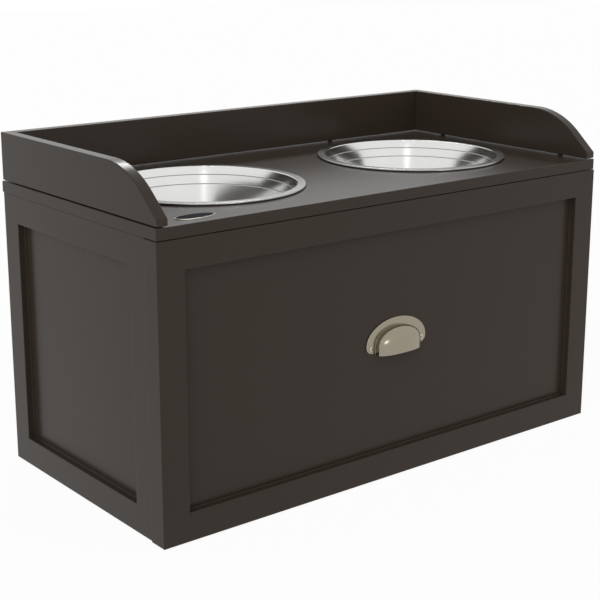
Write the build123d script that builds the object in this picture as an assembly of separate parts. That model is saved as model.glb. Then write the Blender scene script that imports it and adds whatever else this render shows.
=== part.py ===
"""Elevated dog feeder: a framed cabinet with a full-width storage drawer and two lift-out bowls.

Millimetres. +X runs right along the front, +Y runs back, +Z is up. The origin is the centre of
the bounding box's bottom face, on the floor.
"""

from build123d import *
import os
from math import cos, radians, sin, tan

# ------------------------------------------------------------------ driving dimensions
# Cabinet
front_width = 600.0  # drawer front, the widest board
carcass_height = 300.0  # side frames
carcass_depth = 277.5  # side frames, front edge to back edge
side_reveal = 1.4  # drawer front past each side frame
side_thickness = 18.0
glide_height = 2.0
glide_radius = 6.0
glide_inset = 24.0  # glide centre from the front or back edge of a side frame

# Framed boards: stiles and rails round a tongued panel
rail_face = 30.0  # face width of the bottom rails and of the drawer front's stiles
front_stile_face = 27.0  # side frame, stile beside the drawer
back_stile_face = 29.0  # side frame, stile at the back
recess_depth = 8.0  # face of a frame to face of its panel
ledge_width = 1.2  # fine ledge at the foot of the recess wall
ledge_height = 1.0
tongue_setback = 2.5  # panel face to the front of its tongue
tongue_thickness = 5.0
groove_depth = 8.0
tongue_play = 0.5  # end of a tongue to the floor of its groove
slip = 0.1  # clearance of a hidden sliding or dry joint
arris = 0.5  # eased outer edge of every painted board

# Top board and gallery
top_thickness = 12.0
top_overhang = 0.8  # past the side frames, at the sides and back
top_setback = 0.6  # behind the face of the drawer front
gallery_height = 50.8
gallery_thickness = 12.0
gallery_gap = 1.2  # shadow gap between the top board and the gallery
gallery_nose = 6.8  # upright end of a side wall
sweep_radius = 95.0
sweep_angle = 41.0  # slope of the straight part of the sweep
spacer_radius = 3.0

# Inner boards
board_thickness = 12.0  # bottom board and drawer box
floor_clearance = 6.0  # bottom board above the lower edge of the side frames
rail_thickness = 15.0  # flat rails under the top board
front_rail_width = 20.0
back_rail_width = 30.0
back_panel_thickness = 5.0
back_rabbet_width = 9.0

# Drawer
front_thickness = 22.0
front_gap = 0.5  # drawer front to the carcass, closed
front_top_gap = 0.5  # drawer front to the top board
drawer_length = 240.0
drawer_height = 190.0
drawer_bottom_thickness = 5.0
drawer_bottom_lift = 8.0  # drawer bottom above the lower edge of the drawer sides
drawer_groove_depth = 6.0

# Roller runners
runner_width = 12.5  # side frame to drawer side
runner_lift = 34.0  # channel's lower face above the lower edge of the side frames
steel = 1.2
channel_length = 250.0
channel_height = 24.5
channel_flange = 9.5
channel_setback = 2.0  # channel behind the front edge of the side frame
rail_clearance = 0.6  # slide's rail to the channel's upper flange
slide_reach = 10.5  # slide's rail, out from the drawer side
slide_lip = 4.0
slide_foot = 10.0  # slide's foot, in under the drawer side
roller_radius = 9.5
roller_width = 6.0
roller_inset = 3.5  # side frame to roller
roller_gap = 0.3  # roller to the flange it runs on
roller_setback = 10.5  # roller axis to the end of its member
pin_radius = 2.5
pin_clearance = 0.05
pin_head_radius = 4.0
pin_head_height = 0.6
pin_head_gap = 0.2  # roller to the head of its pin

# Bowls
bowl_spacing = 296.6
bowl_from_face = 148.9  # bowl axis behind the face of the drawer front
bowl_rim_radius = 109.3
bowl_flange = 9.5
bowl_rim_height = 2.6
bowl_depth = 60.0
bowl_sheet = 0.8
bowl_heel_height = 9.0  # bevel between the sloping wall and the floor
bowl_heel_radius = 90.0
bowl_floor_radius = 81.0
bowl_hole_clearance = 2.0

# Cup pull
plate_width = 84.0
plate_arch = 26.6  # height of the arch above the widest line
plate_foot = 8.0  # widest line down to the lower edge
plate_corner = 7.6
plate_thickness = 1.6
cup_half_width = 29.5
cup_rise = 18.3  # cup's arch above the widest line of the plate
cup_drop = 10.0  # lip of the cup below the widest line
cup_side_depth = 6.4  # upright side of the cup, from the panel to its domed front
cup_depth = 14.0
cup_flat = 0.2  # share of the front's width that is flat, at the crest of the dome
cup_crown = 2.5  # power of the dome's curve; higher is squarer
cup_levels = 3  # sections over the dome
cup_sides = 10  # sides of each section's arch
cup_wall = 1.4
pull_lift = 148.5  # widest line of the plate above the lower edge of the drawer front
pull_screw_spacing = 70.0
pull_screw_drop = 2.1

# Fasteners; hidden ones are built with few sides
peg_sides = 6
screw_radius = 1.75
screw_head_radius = 3.5
screw_head_height = 1.0
slide_screw_head_radius = 2.75
pull_screw_length = 13.0
front_screw_length = 21.0
box_screw_length = 30.0
gallery_screw_length = 32.0
rail_screw_length = 23.0
panel_screw_length = 17.0
runner_screw_length = 10.0
rail_screw_inset = 70.0  # in from the side frames
front_screw_inset = 50.0  # in from the drawer sides
gallery_screw_inset = 45.0  # in from the nose and from the back wall
pull_screw_head_radius = 2.8
dowel_radius = 3.0
dowel_reach = 12.0  # into the end of the gallery's back wall
dowel_bite = 8.0  # into its side wall
channel_screw_spacing = 96.0
slide_screw_spacing = 80.0
channel_screw_rise = 11.0  # above the channel's lower face
slide_screw_rise = 4.0
cam_radius = 6.0
cam_height = 10.5
cam_setback = 24.0  # cam's axis in from the end of its board
cam_inset = 70.0  # cams of the bottom board, in from its front and back edges
cam_bolt_radius = 2.5
cam_bolt_bite = 8.0  # bolt into the side frame
cam_gap = 0.3  # end of the bolt to the cam that grips its neck

# ------------------------------------------------------------------ derived places
pull_proud = cup_depth - recess_depth
body_depth = front_thickness + front_gap + carcass_depth + top_overhang
face_y = (pull_proud - body_depth) / 2
carcass_y = face_y + front_thickness + front_gap
back_y = carcass_y + carcass_depth
back_panel_y = back_y - back_panel_thickness
base_z = glide_height
top_z = base_z + carcass_height
board_top_z = top_z + top_thickness
gallery_z = board_top_z + gallery_gap
gallery_front_y = face_y + top_setback
gallery_back_y = back_y - gallery_thickness
side_face_x = front_width / 2 - side_reveal
inner_x = side_face_x - side_thickness
gallery_x = side_face_x - gallery_thickness
front_height = carcass_height - front_top_gap
floor_z = base_z + floor_clearance
rail_z = top_z - rail_thickness
drawer_x = inner_x - runner_width
drawer_inner_x = drawer_x - board_thickness
drawer_y = face_y + front_thickness
drawer_back_y = drawer_y + drawer_length
drawer_z = base_z + runner_lift
channel_y = carcass_y + channel_setback
slide_y = drawer_y + channel_setback
slide_back_y = drawer_back_y - channel_setback
rail_top_z = drawer_z + channel_height - steel - rail_clearance
channel_roller_y = channel_y + roller_setback
channel_roller_z = rail_top_z - steel - roller_gap - roller_radius
slide_roller_y = slide_back_y - roller_setback
slide_roller_z = drawer_z + steel + roller_gap + roller_radius
roller_x = inner_x - roller_inset
bowl_x = bowl_spacing / 2
bowl_y = face_y + bowl_from_face
bowl_wall_radius = bowl_rim_radius - bowl_flange
bowl_rim_z = board_top_z + bowl_rim_height
hole_radius = bowl_wall_radius + bowl_sheet + bowl_hole_clearance
panel_face_y = face_y + recess_depth
pull_z = base_z + pull_lift

LEFT = (-1, 0, 0)
RIGHT = (1, 0, 0)
FRONT = (0, -1, 0)
BACK = (0, 1, 0)
DOWN = (0, 0, -1)


# ------------------------------------------------------------------ helpers
def mirrored(solid):
    """The same piece on the other side of the middle plane."""
    return mirror(solid, Plane.YZ)


def both_sides(solids):
    """Solids of the right side, and their mirrors."""
    return solids + [mirrored(solid) for solid in solids]


def group(solids):
    """Several separate solids kept as one node."""
    return Compound(children=solids)


def fastened(piece, places):
    """One node of a piece repeated on the right side's places and on their mirrors."""
    return group(both_sides([place * piece for place in places]))


def cut(solid, cutters):
    """Solid less every cutter."""
    for cutter in cutters:
        solid = solid - cutter
    return solid


def box(x0, x1, y0, y1, z0, z1):
    """Box between two corners."""
    return Pos((x0 + x1) / 2, (y0 + y1) / 2, (z0 + z1) / 2) * Box(x1 - x0, y1 - y0, z1 - z0)


def board(x0, x1, y0, y1, z0, z1):
    """Box with every edge eased."""
    return chamfer(box(x0, x1, y0, y1, z0, z1).edges(), arris)


def at(x, y, z, facing):
    """Place whose +Z faces a direction; heads face it and shanks run away from it."""
    return Plane(origin=(x, y, z), z_dir=facing).location


def peg(radius, low, high, sides=peg_sides):
    """Many-sided stand-in for a small round piece or its hole, between two heights."""
    return Pos(0, 0, low) * extrude(RegularPolygon(radius, sides), high - low)


# ------------------------------------------------------------------ fasteners
def flush_screw(length):
    """Flat-headed screw, the top of its head at z = 0."""
    return peg(screw_head_radius, -screw_head_height, 0) + peg(screw_radius, -length, -screw_head_height)


def flush_screw_hole(length):
    """Counterbored hole for a flush screw."""
    head = peg(screw_head_radius + slip, -screw_head_height, slip)
    return head + peg(screw_radius + slip, -length - slip, -screw_head_height)


def standing_screw(length, head_radius=screw_head_radius):
    """Low-headed screw, its head standing on z = 0."""
    return peg(head_radius, 0, screw_head_height) + peg(screw_radius, -length, 0)


def standing_screw_hole(length):
    """Hole for a standing screw."""
    return peg(screw_radius + slip, -length - slip, slip)


def dowel(play=0.0):
    """Dowel through a butt joint at z = 0, or its hole with a play all round."""
    return peg(dowel_radius + play, -dowel_reach - play, dowel_bite + play)


def cam_bolt():
    """Bolt from inside a side frame to the cam of the board that butts against it."""
    return peg(cam_bolt_radius, cam_radius + cam_gap - cam_setback, cam_bolt_bite)


def cam_bolt_hole():
    """Hole for a cam bolt, running into the cam's housing."""
    return peg(cam_bolt_radius + slip, -cam_setback, cam_bolt_bite + slip)


def cam(play=0.0):
    """Cam lock from its board's lower face, or its housing with a play all round."""
    return peg(cam_radius + play, -play, cam_height + play, 2 * peg_sides)


# Places on the right; the left side mirrors them.
def cam_places():
    """(y, lower face, height of the bolt above it) of each cam."""
    low = board_thickness / 2
    high = rail_thickness / 2
    return [
        (carcass_y + cam_inset, floor_z, low),
        (back_panel_y - cam_inset, floor_z, low),
        (carcass_y + front_rail_width / 2, rail_z, high),
        (back_panel_y - front_rail_width / 2, rail_z, high),
    ]


def glide_places():
    """Glides under the right side frame."""
    x = side_face_x - side_thickness / 2
    return [Pos(x, y, 0) for y in (carcass_y + glide_inset, back_y - glide_inset)]


def cam_seats():
    """Cams near the right side frame, on their boards' lower faces."""
    return [Pos(inner_x - cam_setback, y, face) for y, face, rise in cam_places()]


def cam_bolt_places():
    """Cam bolts in the right side frame."""
    return [at(inner_x, y, face + rise, RIGHT) for y, face, rise in cam_places()]


def channel_screw_places():
    """Screws through the right channel's web, heads towards the drawer."""
    middle = channel_y + channel_length / 2
    rise = drawer_z + channel_screw_rise
    return [at(inner_x - steel, middle + n * channel_screw_spacing, rise, LEFT) for n in (-1, 1)]


def slide_screw_places():
    """Screws through the right slide's web into the drawer side."""
    middle = slide_y + (slide_back_y - slide_y) / 2
    rise = drawer_z + slide_screw_rise
    return [at(drawer_x + steel, middle + n * slide_screw_spacing, rise, RIGHT) for n in (-1, 1)]


def box_screw_places():
    """Screws through the right drawer side into the ends of the drawer's front and back."""
    ends = (drawer_y + board_thickness / 2, drawer_back_y - board_thickness / 2)
    return [at(drawer_x, y, drawer_z + drawer_height * n / 4, RIGHT) for y in ends for n in (1, 3)]


def front_screw_places():
    """Screws from inside the drawer into the back of its framed front."""
    x = drawer_inner_x - front_screw_inset
    y = drawer_y + board_thickness
    return [at(x, y, drawer_z + drawer_height * n / 4, BACK) for n in (1, 3)]


def rail_screw_places():
    """Screws up through the flat rails into the top board, right of the middle."""
    front = carcass_y + front_rail_width / 2
    back = back_panel_y - back_rail_width / 2
    return [at(inner_x - rail_screw_inset, y, rail_z, DOWN) for y in (front, back)]


def panel_screw_places():
    """Screws of the back panel, right of the middle: side frame, bottom board and back rail."""
    side = inner_x + back_rabbet_width / 2
    rises = (base_z + carcass_height / 4, top_z - carcass_height / 4)
    frame = [at(side, back_y, z, BACK) for z in rises]
    boards = (floor_z + board_thickness / 2, rail_z + rail_thickness / 2)
    return frame + [at(inner_x / 2, back_y, z, BACK) for z in boards]


def gallery_screw_places():
    """Screws up through the top board into the gallery, right of the middle."""
    side = side_face_x - gallery_thickness / 2
    back = back_y - gallery_thickness / 2
    return [
        at(side, gallery_front_y + gallery_screw_inset, top_z, DOWN),
        at(side, gallery_back_y - gallery_screw_inset, top_z, DOWN),
        at(side / 2, back, top_z, DOWN),
    ]


def corner_dowel_places():
    """Dowels between the end of the gallery's back wall and its right wall."""
    middle = back_y - gallery_thickness / 2
    return [at(gallery_x, middle, gallery_z + gallery_height * n / 4, RIGHT) for n in (1, 3)]


def pull_screw_places():
    """The two screws of the cup pull, on the face of its plate."""
    y = panel_face_y - plate_thickness
    return [at(n * pull_screw_spacing / 2, y, pull_z - pull_screw_drop, FRONT) for n in (-1, 1)]


# ------------------------------------------------------------------ coped frames
def member_section(face, thickness):
    """Section of a stile or rail: in from its outer edge, and back from its face."""
    lip = face + ledge_width
    wall = ledge_height - recess_depth
    near = -recess_depth - tongue_setback
    far = near - tongue_thickness
    bed = lip - groove_depth
    return make_face(
        Polyline(
            (0, 0),
            (face, 0),
            (face, wall),
            (lip, wall),
            (lip, near),
            (bed, near),
            (bed, far),
            (lip, far),
            (lip, -thickness),
            (0, -thickness),
            close=True,
        )
    )


def framed_board(width, height, thickness, left, right, bottom, top):
    """Grooved stiles, coped rails and a tongued panel: face at z = 0, x across, y up."""
    outline = board(0, width, 0, height, -thickness, 0)
    stiles = [
        extrude(Plane.XZ * member_section(left, thickness), -height),
        Pos(width, 0, 0) * mirrored(extrude(Plane.XZ * member_section(right, thickness), -height)),
    ]
    reach = ledge_width - groove_depth + tongue_play
    span = width - left - right - 2 * reach
    lower = extrude(Plane.YZ * member_section(bottom, thickness), span)
    upper = mirror(extrude(Plane.YZ * member_section(top, thickness), span), Plane.XZ)
    rails = [Pos(left + reach, 0, 0) * lower, Pos(left + reach, height, 0) * upper]
    coped = [cut(rail & outline, stiles) for rail in rails]
    fit = ledge_width + slip
    near = -recess_depth - tongue_setback
    core = box(left + fit, width - right - fit, bottom + fit, height - top - fit, -thickness, -recess_depth)
    tongue = box(
        left + reach,
        width - right - reach,
        bottom + reach,
        height - top - reach,
        near - tongue_thickness + slip,
        near - slip,
    )
    return [stile & outline for stile in stiles] + coped + [core + tongue]


side_layout = (carcass_depth, carcass_height, front_stile_face, back_stile_face, rail_face, rail_face)
front_layout = (front_width, front_height, rail_face, rail_face, rail_face, rail_face - front_top_gap)
side_plane = Plane(origin=(side_face_x, carcass_y, base_z), x_dir=BACK, z_dir=RIGHT).location
front_plane = Plane(origin=(-front_width / 2, face_y, base_z), x_dir=RIGHT, z_dir=FRONT).location


def side_frame():
    """Right side frame, bored for what joins it: front stile, back stile, rails and panel."""
    width, height, left, right, bottom, top = side_layout
    pieces = framed_board(width, height, side_thickness, left, right, bottom, top)
    rabbet_x = inner_x + back_rabbet_width + slip
    rabbet = box(inner_x - slip, rabbet_x, back_panel_y, back_y + slip, base_z - slip, top_z + slip)
    bores = [rabbet]
    bores += [place * cam_bolt_hole() for place in cam_bolt_places()]
    bores += [place * standing_screw_hole(runner_screw_length) for place in channel_screw_places()]
    bores += [place * flush_screw_hole(panel_screw_length) for place in panel_screw_places()]
    return [cut(side_plane * piece, bores) for piece in pieces]


def drawer_front():
    """Framed front of the drawer, bored from behind and for the pull."""
    width, height, left, right, bottom, top = front_layout
    pieces = framed_board(width, height, front_thickness, left, right, bottom, top)
    bores = both_sides([place * standing_screw_hole(front_screw_length) for place in front_screw_places()])
    bores += [place * standing_screw_hole(pull_screw_length) for place in pull_screw_places()]
    return [cut(front_plane * piece, bores) for piece in pieces]


# ------------------------------------------------------------------ cabinet boards
def top_board():
    """Top board with the two bowl holes."""
    wide = side_face_x + top_overhang
    solid = board(-wide, wide, face_y + top_setback, back_y + top_overhang, top_z, board_top_z)
    middle_z = (top_z + board_top_z) / 2
    holes = [Pos(n * bowl_x, bowl_y, middle_z) * Cylinder(hole_radius, 2 * top_thickness) for n in (-1, 1)]
    screws = [place * flush_screw_hole(gallery_screw_length) for place in gallery_screw_places()]
    screws += [place * flush_screw_hole(rail_screw_length) for place in rail_screw_places()]
    return cut(solid, holes + both_sides(screws))


def gallery_back():
    """Back wall of the gallery, between the side walls."""
    solid = board(-gallery_x, gallery_x, gallery_back_y, back_y, gallery_z, gallery_z + gallery_height)
    bores = [place * flush_screw_hole(gallery_screw_length) for place in gallery_screw_places()]
    bores += [place * dowel(slip) for place in corner_dowel_places()]
    return cut(solid, both_sides(bores))


def gallery_side():
    """Right wall of the gallery: an upright nose, a straight slope and a long arc up to the top edge."""
    slope = radians(sweep_angle)
    arc_rise = sweep_radius * (1 - cos(slope))
    slope_rise = gallery_height - gallery_nose - arc_rise
    nose = (gallery_front_y, gallery_z + gallery_nose)
    knee = (nose[0] + slope_rise / tan(slope), nose[1] + slope_rise)
    crest = (knee[0] + sweep_radius * sin(slope), gallery_z + gallery_height)
    edge = Line((gallery_front_y, gallery_z), nose)
    edge += Line(nose, knee)
    edge += TangentArc(knee, crest, tangent=(cos(slope), sin(slope)))
    edge += Polyline(crest, (back_y, crest[1]), (back_y, gallery_z), (gallery_front_y, gallery_z))
    solid = Pos(gallery_x, 0, 0) * extrude(Plane.YZ * make_face(edge), gallery_thickness)
    bores = [place * flush_screw_hole(gallery_screw_length) for place in gallery_screw_places()]
    bores += [place * dowel(slip) for place in corner_dowel_places()]
    return cut(chamfer(solid.edges(), arris), bores)


def gallery_spacer():
    """Washer that holds the gallery off the top board, on a gallery screw's place."""
    low = -top_thickness - gallery_gap
    return peg(spacer_radius, low, -top_thickness) - peg(screw_radius + slip, low - slip, slip)


def bottom_board():
    """Board under the drawer, between the side frames."""
    solid = box(-inner_x, inner_x, carcass_y, back_panel_y, floor_z, floor_z + board_thickness)
    bores = [place * cam_bolt_hole() for place in cam_bolt_places()]
    bores += [place * cam(slip) for place in cam_seats()]
    bores += [place * flush_screw_hole(panel_screw_length) for place in panel_screw_places()]
    return cut(solid, both_sides(bores))


def flat_rail(y0, y1):
    """Flat rail between the side frames, under the top board."""
    bores = [place * cam_bolt_hole() for place in cam_bolt_places()]
    bores += [place * cam(slip) for place in cam_seats()]
    bores += [place * flush_screw_hole(panel_screw_length) for place in panel_screw_places()]
    bores += [place * flush_screw_hole(rail_screw_length) for place in rail_screw_places()]
    return cut(box(-inner_x, inner_x, y0, y1, rail_z, top_z), both_sides(bores))


def back_panel():
    """Thin panel in the rabbets of the side frames."""
    wide = inner_x + back_rabbet_width
    solid = box(-wide, wide, back_panel_y, back_y, floor_z, top_z)
    bores = [place * flush_screw_hole(panel_screw_length) for place in panel_screw_places()]
    return cut(solid, both_sides(bores))


def glide():
    """Round glide under a side frame."""
    return peg(glide_radius, 0, glide_height, 2 * peg_sides)


# ------------------------------------------------------------------ drawer box
def drawer_slot(play):
    """Space of the drawer's bottom panel, less a play all round."""
    wide = drawer_inner_x + drawer_groove_depth - play
    inset = board_thickness - drawer_groove_depth + play
    rise = drawer_z + drawer_bottom_lift
    return box(-wide, wide, drawer_y + inset, drawer_back_y - inset, rise, rise + drawer_bottom_thickness)


def drawer_side():
    """Right side of the drawer box."""
    high = drawer_z + drawer_height
    solid = board(drawer_inner_x, drawer_x, drawer_y, drawer_back_y, drawer_z, high)
    bores = [place * flush_screw_hole(box_screw_length) for place in box_screw_places()]
    bores += [place * standing_screw_hole(runner_screw_length) for place in slide_screw_places()]
    return cut(solid, [drawer_slot(0)] + bores)


def drawer_end(y0):
    """Board across the drawer box, between its sides."""
    high = drawer_z + drawer_height
    solid = board(-drawer_inner_x, drawer_inner_x, y0, y0 + board_thickness, drawer_z, high)
    bores = [place * flush_screw_hole(box_screw_length) for place in box_screw_places()]
    bores += [place * standing_screw_hole(front_screw_length) for place in front_screw_places()]
    return cut(solid, [drawer_slot(0)] + both_sides(bores))


# ------------------------------------------------------------------ roller runners
def pin(length):
    """Roller pin from z = 0, its head at the far end."""
    shank = Pos(0, 0, length / 2) * Cylinder(pin_radius, length)
    return shank + Pos(0, 0, length + pin_head_height / 2) * Cylinder(pin_head_radius, pin_head_height)


def along(points, y0, y1):
    """Strip of one section, given as (distance in from the right side frame, height) points."""
    edge = Polyline(*[(inner_x - reach, z) for reach, z in points], close=True)
    return Pos(0, y0, 0) * extrude(Plane.XZ * make_face(edge), y0 - y1)


def runner_channel():
    """Right fixed member: a channel open towards the drawer, with its roller's riveted pin."""
    low = drawer_z
    high = drawer_z + channel_height
    section = [
        (0, low),
        (channel_flange, low),
        (channel_flange, low + steel),
        (steel, low + steel),
        (steel, high - steel),
        (channel_flange, high - steel),
        (channel_flange, high),
        (0, high),
    ]
    axle = pin(roller_inset - steel + roller_width + pin_head_gap)
    solid = along(section, channel_y, channel_y + channel_length)
    solid = solid + at(inner_x - steel, channel_roller_y, channel_roller_z, LEFT) * axle
    return cut(solid, [place * standing_screw_hole(2 * steel) for place in channel_screw_places()])


def runner_slide():
    """Right moving member: a web with a riveted pin, a foot under the drawer and a lipped rail."""
    web = runner_width - steel
    rail = runner_width - slide_reach
    lip = rail_top_z - slide_lip
    section = [
        (runner_width + slide_foot, drawer_z),
        (runner_width + slide_foot, drawer_z - steel),
        (web, drawer_z - steel),
        (web, rail_top_z - steel),
        (rail + steel, rail_top_z - steel),
        (rail + steel, lip),
        (rail, lip),
        (rail, rail_top_z),
        (runner_width, rail_top_z),
        (runner_width, drawer_z),
    ]
    axle = pin(web - roller_inset + pin_head_gap)
    solid = along(section, slide_y, slide_back_y)
    solid = solid + at(drawer_x + steel, slide_roller_y, slide_roller_z, RIGHT) * axle
    return cut(solid, [place * standing_screw_hole(2 * steel) for place in slide_screw_places()])


def roller(y, z):
    """Right plastic roller, bored to turn on its pin."""
    wheel = Cylinder(roller_radius, roller_width) - Cylinder(pin_radius + pin_clearance, 2 * roller_width)
    return at(roller_x - roller_width / 2, y, z, RIGHT) * wheel


# ------------------------------------------------------------------ bowls
def bowl():
    """Steel bowl on its own axis, rim's top at z = 0: turned-down rim, sloping wall and bevelled heel."""
    inside = Polyline(
        (bowl_rim_radius, -bowl_rim_height),
        (bowl_rim_radius, 0),
        (bowl_wall_radius, 0),
        (bowl_heel_radius, bowl_heel_height - bowl_depth),
        (bowl_floor_radius, -bowl_depth),
        (0, -bowl_depth),
    )
    section = make_face(offset(inside, bowl_sheet, side=Side.RIGHT, kind=Kind.INTERSECTION))
    return revolve(Plane.XZ * section, Axis.Z)


# ------------------------------------------------------------------ cup pull
def arch(half_width, rise, foot):
    """Half-ellipse over a straight foot, its widest line on the X axis."""
    edge = EllipticalCenterArc((0, 0), half_width, rise, start_angle=0, arc_size=180)
    edge += Polyline((-half_width, 0), (-half_width, -foot), (half_width, -foot), (half_width, 0))
    return make_face(edge)


def cup(inset):
    """Cup's outer solid, or its hollow when inset by the wall: D-shaped sections from back to crest."""
    side = cup_side_depth - inset
    crest = cup_depth - inset
    steps = [(0.0, 1.0)]
    for n in range(cup_levels + 1):
        out = 1 - n / cup_levels
        steps.append((side + (crest - side) * (1 - out**cup_crown), cup_flat + (1 - cup_flat) * out))
    turns = [radians(180 * n / cup_sides) for n in range(cup_sides + 1)]
    foot = -cup_drop - inset
    sections = []
    for depth, share in steps:
        half_width = (cup_half_width - inset) * share
        rise = (cup_rise - inset) * share
        points = [(half_width * cos(turn), rise * sin(turn)) for turn in turns]
        points += [(-half_width, foot), (half_width, foot)]
        sections.append(Pos(0, 0, depth) * make_face(Polyline(*points, close=True)))
    return loft(sections, ruled=True)


def cup_pull():
    """Arched plate with a D-shaped cup, open below and behind."""
    outline = arch(plate_width / 2, plate_arch, plate_foot)
    plate = extrude(fillet(outline.vertices().sort_by(Axis.Y)[:2], plate_corner), plate_thickness)
    place = Plane(origin=(0, panel_face_y, pull_z), x_dir=RIGHT, z_dir=FRONT).location
    screws = [screw * standing_screw_hole(2 * plate_thickness) for screw in pull_screw_places()]
    return cut(place * (plate + cup(0) - cup(cup_wall)), screws)


# ------------------------------------------------------------------ the whole
def pieces():
    """Every piece by name."""
    made = {}
    for name, piece in zip(("front_stile", "back_stile", "bottom_rail", "top_rail", "panel"), side_frame()):
        made["side_right_" + name] = piece
        made["side_left_" + name] = mirrored(piece)
    made["top_board"] = top_board()
    made["gallery_back"] = gallery_back()
    made["gallery_right"] = gallery_side()
    made["gallery_left"] = mirrored(made["gallery_right"])
    made["gallery_spacers"] = fastened(gallery_spacer(), gallery_screw_places())
    made["gallery_screws"] = fastened(flush_screw(gallery_screw_length), gallery_screw_places())
    made["gallery_corner_dowels"] = fastened(dowel(), corner_dowel_places())
    made["bottom_board"] = bottom_board()
    made["front_rail"] = flat_rail(carcass_y, carcass_y + front_rail_width)
    made["back_rail"] = flat_rail(back_panel_y - back_rail_width, back_panel_y)
    made["back_panel"] = back_panel()
    made["cam_bolts"] = fastened(cam_bolt(), cam_bolt_places())
    made["cam_locks"] = fastened(cam(), cam_seats())
    made["top_rail_screws"] = fastened(flush_screw(rail_screw_length), rail_screw_places())
    made["back_panel_screws"] = fastened(flush_screw(panel_screw_length), panel_screw_places())
    made["glides"] = fastened(glide(), glide_places())
    made["runner_channel_right"] = runner_channel()
    made["runner_channel_left"] = mirrored(made["runner_channel_right"])
    made["channel_screws"] = fastened(standing_screw(runner_screw_length), channel_screw_places())
    made["channel_roller_right"] = roller(channel_roller_y, channel_roller_z)
    made["channel_roller_left"] = mirrored(made["channel_roller_right"])
    members = ("left_stile", "right_stile", "bottom_rail", "top_rail", "panel")
    for name, piece in zip(members, drawer_front()):
        made["drawer_front_" + name] = piece
    made["cup_pull"] = cup_pull()
    pull_screw = standing_screw(pull_screw_length, pull_screw_head_radius)
    made["pull_screws"] = group([place * pull_screw for place in pull_screw_places()])
    made["drawer_side_right"] = drawer_side()
    made["drawer_side_left"] = mirrored(made["drawer_side_right"])
    made["drawer_box_front"] = drawer_end(drawer_y)
    made["drawer_box_back"] = drawer_end(drawer_back_y - board_thickness)
    made["drawer_bottom"] = drawer_slot(tongue_play)
    made["drawer_box_screws"] = fastened(flush_screw(box_screw_length), box_screw_places())
    made["drawer_front_screws"] = fastened(standing_screw(front_screw_length), front_screw_places())
    made["runner_slide_right"] = runner_slide()
    made["runner_slide_left"] = mirrored(made["runner_slide_right"])
    slide_screw = standing_screw(runner_screw_length, slide_screw_head_radius)
    made["slide_screws"] = fastened(slide_screw, slide_screw_places())
    made["slide_roller_right"] = roller(slide_roller_y, slide_roller_z)
    made["slide_roller_left"] = mirrored(made["slide_roller_right"])
    made["bowl_right"] = Pos(bowl_x, bowl_y, bowl_rim_z) * bowl()
    made["bowl_left"] = Pos(-bowl_x, bowl_y, bowl_rim_z) * bowl()
    return made


os.makedirs("parts", exist_ok=True)
for name, piece in pieces().items():
    export_step(piece, f"parts/{name}.step")
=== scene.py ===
"""Looks of the elevated dog feeder: lacquered boards, spun bowls, cup pull, screws, floor, light and camera.

Metres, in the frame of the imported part: +X runs right along the front, +Y runs back, +Z is up.
"""

import logging
from collections.abc import Sequence
from dataclasses import dataclass, replace
from enum import Enum
from math import acos, cos, pi, radians, sin, tan

import bmesh
import bpy
from mathutils import Matrix, Vector


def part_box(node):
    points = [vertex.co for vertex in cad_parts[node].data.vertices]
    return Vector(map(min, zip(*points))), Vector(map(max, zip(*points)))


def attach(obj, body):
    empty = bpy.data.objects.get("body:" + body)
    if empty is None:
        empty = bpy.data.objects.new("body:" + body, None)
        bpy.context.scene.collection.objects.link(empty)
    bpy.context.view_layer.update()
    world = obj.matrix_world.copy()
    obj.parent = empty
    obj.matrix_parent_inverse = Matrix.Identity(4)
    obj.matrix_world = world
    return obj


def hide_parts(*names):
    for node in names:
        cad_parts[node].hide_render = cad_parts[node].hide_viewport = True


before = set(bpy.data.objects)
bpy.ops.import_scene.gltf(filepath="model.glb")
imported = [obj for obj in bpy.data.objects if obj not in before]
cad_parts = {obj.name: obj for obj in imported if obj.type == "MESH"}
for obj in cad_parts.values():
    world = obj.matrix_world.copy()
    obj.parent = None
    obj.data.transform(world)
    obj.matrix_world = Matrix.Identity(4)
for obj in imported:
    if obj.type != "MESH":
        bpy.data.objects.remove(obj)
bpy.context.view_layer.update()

log = logging.getLogger("feeder")

MM = 0.001
WELD = 1e-6  # points closer than this become one
SLIVER = 1e-7  # edges shorter than this go
KEY_DIGITS = 6  # decimals to which loose corners are matched
WHITE = (1.0, 1.0, 1.0, 1.0)

Colour = tuple[float, float, float]
Point = tuple[float, float]
Place = tuple[float, float, float]
Face = list[int]
Ring = list[Vector]


class Slot(Enum):
    """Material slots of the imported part."""

    LACQUERED_BOARD = "lacquered_board"
    INNER_BOARD = "inner_board"
    BACK_BOARD = "back_board"
    BOWL_STEEL = "bowl_steel"
    PULL_NICKEL = "pull_nickel"
    ZINC_STEEL = "zinc_steel"
    RUNNER_ENAMEL = "runner_enamel"
    ROLLER_NYLON = "roller_nylon"
    GLIDE_PLASTIC = "glide_plastic"
    DOWEL_WOOD = "dowel_wood"


class Body(Enum):
    """Moving bodies that the new pieces ride on."""

    CABINET = "cabinet"
    DRAWER = "drawer"
    BOWL_LEFT = "bowl_left"
    BOWL_RIGHT = "bowl_right"


class Facing(Enum):
    """Direction that the heads of a set of screws face, on the right of the middle."""

    FRONT = (0.0, -1.0, 0.0)
    BACK = (0.0, 1.0, 0.0)
    DOWN = (0.0, 0.0, -1.0)
    INWARD = (-1.0, 0.0, 0.0)
    OUTWARD = (1.0, 0.0, 0.0)

    def at(self, x: float) -> Vector:
        """Direction at a place right or left of the middle, where the sides mirror each other."""
        side = 1.0 if x > 0 else -1.0
        return Vector((self.value[0] * side, self.value[1], self.value[2]))


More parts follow.
